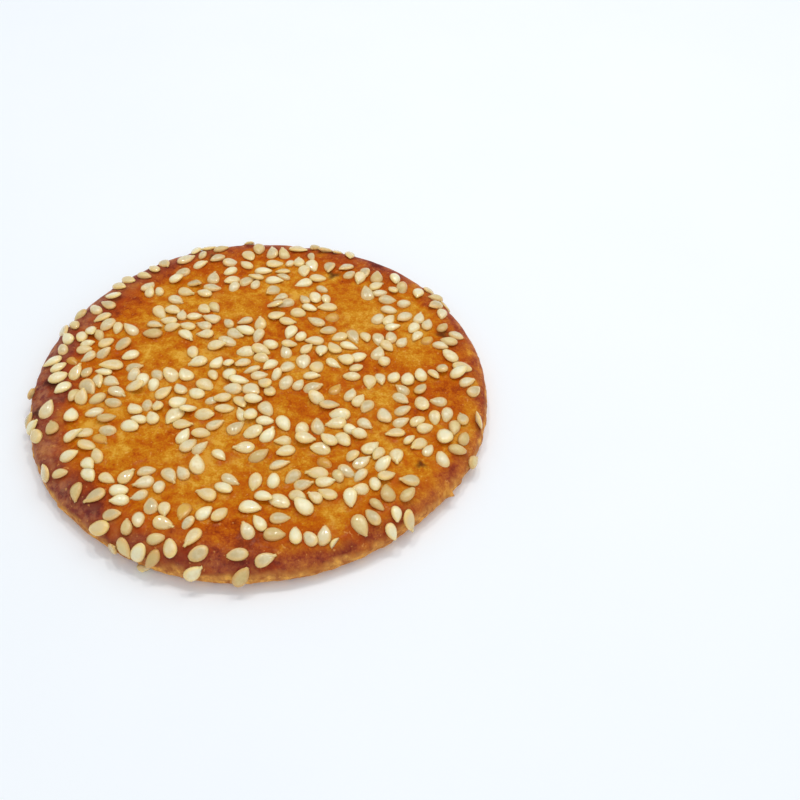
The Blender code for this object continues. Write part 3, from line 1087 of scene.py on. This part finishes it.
def seedMaterial(kind):
    material, tree, surface = newMaterial(kind)
    look, every = seedLooks[kind], everySeedLook
    patterns = {name: noise(tree, *given) for name, given in every["patterns"].items()}
    tone = stored(tree, "seedTone")
    for name, amount in every["unevenness"].items():
        tone = vary(tree, tone, patterns[name], amount)
    colour = mix(tree, spread(tree, tone, 0.0, 1.0), look["dark"], look["light"])
    # painted glow: the warm edge colour towards the outline, standing for the crust's light through the
    # seed's thin edges
    edge = spread(tree, stored(tree, "seedOuter"), *every["glowingEdgeFrom"], 0.0, look["glowingEdgeShare"])
    colour = mix(tree, edge, colour, look["edge"])
    colour = mix(tree, spread(tree, stored(tree, "seedAhead"), *every["tip"]), colour, look["edge"])
    tree.links.new(colour, surface.inputs["Base Color"])
    setSockets(surface, look["surface"])
    setSockets(surface, every["surface"])
    bump(tree, surface, patterns, every["relief"])
    return material


def dress(piece, material):
    piece.data.materials.clear()
    piece.data.materials.append(material)
    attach(piece, "root")
    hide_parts("biscuit")


# The table, the light and the camera, at the photograph's angle
studio = {
    "floorSize": 1.2,
    "floorPattern": (0.03, 3, 0.5),
    "floorColours": (linear(250, 251, 253), linear(246, 248, 251)),
    "floorRoughness": 0.6,
    "skyColour": (0.87, 0.94, 1.0, 1),
    "skyStrength": 0.67,
    "lamps": (  # name, size, watts, place, colour
        ("behind", 0.40, 0.40, (0.20, 0.20, 0.42), (1.0, 0.98, 0.94)),
        ("front", 0.50, 0.32, (0.17, -0.35, 0.30), (1.0, 0.98, 0.96)),
        ("glintLeft", 0.05, 0.28, (-0.09, 0.15, 0.42), (1.0, 0.98, 0.95)),
        ("glintRight", 0.05, 0.24, (0.08, 0.17, 0.43), (1.0, 0.98, 0.95)),
    ),
    "cameraHeight": 46.4,  # degrees above the table
    "cameraDistance": 0.1339,
    "cameraTarget": (0.0202, 0.0003, 0.0),
    "cameraRoll": 0.0601,
    "lens": 40.5,
    "sensorWidth": 36,
    "nearestSeen": 0.01,
}


def layTable():
    deselectAll()
    bpy.ops.mesh.primitive_plane_add(size=studio["floorSize"])
    floor = bpy.context.active_object
    floor.name = "table"
    material, tree, surface = newMaterial("whiteTable")
    colour = mix(tree, noise(tree, *studio["floorPattern"]), *studio["floorColours"])
    tree.links.new(colour, surface.inputs["Base Color"])
    setSockets(surface, {"Roughness": studio["floorRoughness"]})
    floor.data.materials.append(material)


def lightStudio():
    world = bpy.data.worlds.new("studio")
    bpy.context.scene.world = world
    world.use_nodes = True
    sky = world.node_tree.nodes["Background"]
    setSockets(sky, {"Color": studio["skyColour"], "Strength": studio["skyStrength"]})
    for name, size, watts, place, colour in studio["lamps"]:
        light = bpy.data.lights.new(name, "AREA")
        light.shape = "DISK"
        light.size = size
        light.energy = watts
        light.color = colour
        lamp = bpy.data.objects.new(name, light)
        lamp.location = place
        lamp.rotation_euler = (-Vector(place)).to_track_quat("-Z", "Y").to_euler()
        bpy.context.scene.collection.objects.link(lamp)


def placeCamera():
    lens = bpy.data.cameras.new("camera")
    lens.lens = studio["lens"]
    lens.sensor_width = studio["sensorWidth"]
    lens.clip_start = studio["nearestSeen"]
    camera = bpy.data.objects.new("camera", lens)
    target, height = Vector(studio["cameraTarget"]), math.radians(studio["cameraHeight"])
    place = target + studio["cameraDistance"] * Vector((0, -math.cos(height), math.sin(height)))
    aim = (target - place).to_track_quat("-Z", "Y").to_matrix().to_4x4()
    camera.matrix_world = Matrix.Translation(place) @ aim @ Matrix.Rotation(studio["cameraRoll"], 4, "Z")
    bpy.context.scene.collection.objects.link(camera)
    bpy.context.scene.camera = camera
    bpy.context.scene.view_settings.view_transform = "Standard"


seeds = layOutSeeds()

crust = modelCrust()
along, bearing = layFlat(readVectors(crust.data, "co"))
gaps, crowd = seedGaps(along, bearing, seeds)
shapeCrust(crust, along, bearing, gaps, crowd)
bakeCrust(crust, along, bearing, gaps)
dress(crust, crustMaterial())

for kind, piece in makeSeeds(seeds).items():
    dress(piece, seedMaterial(kind))

layTable()
lightStudio()
placeCamera()
print("table, light and camera in place")
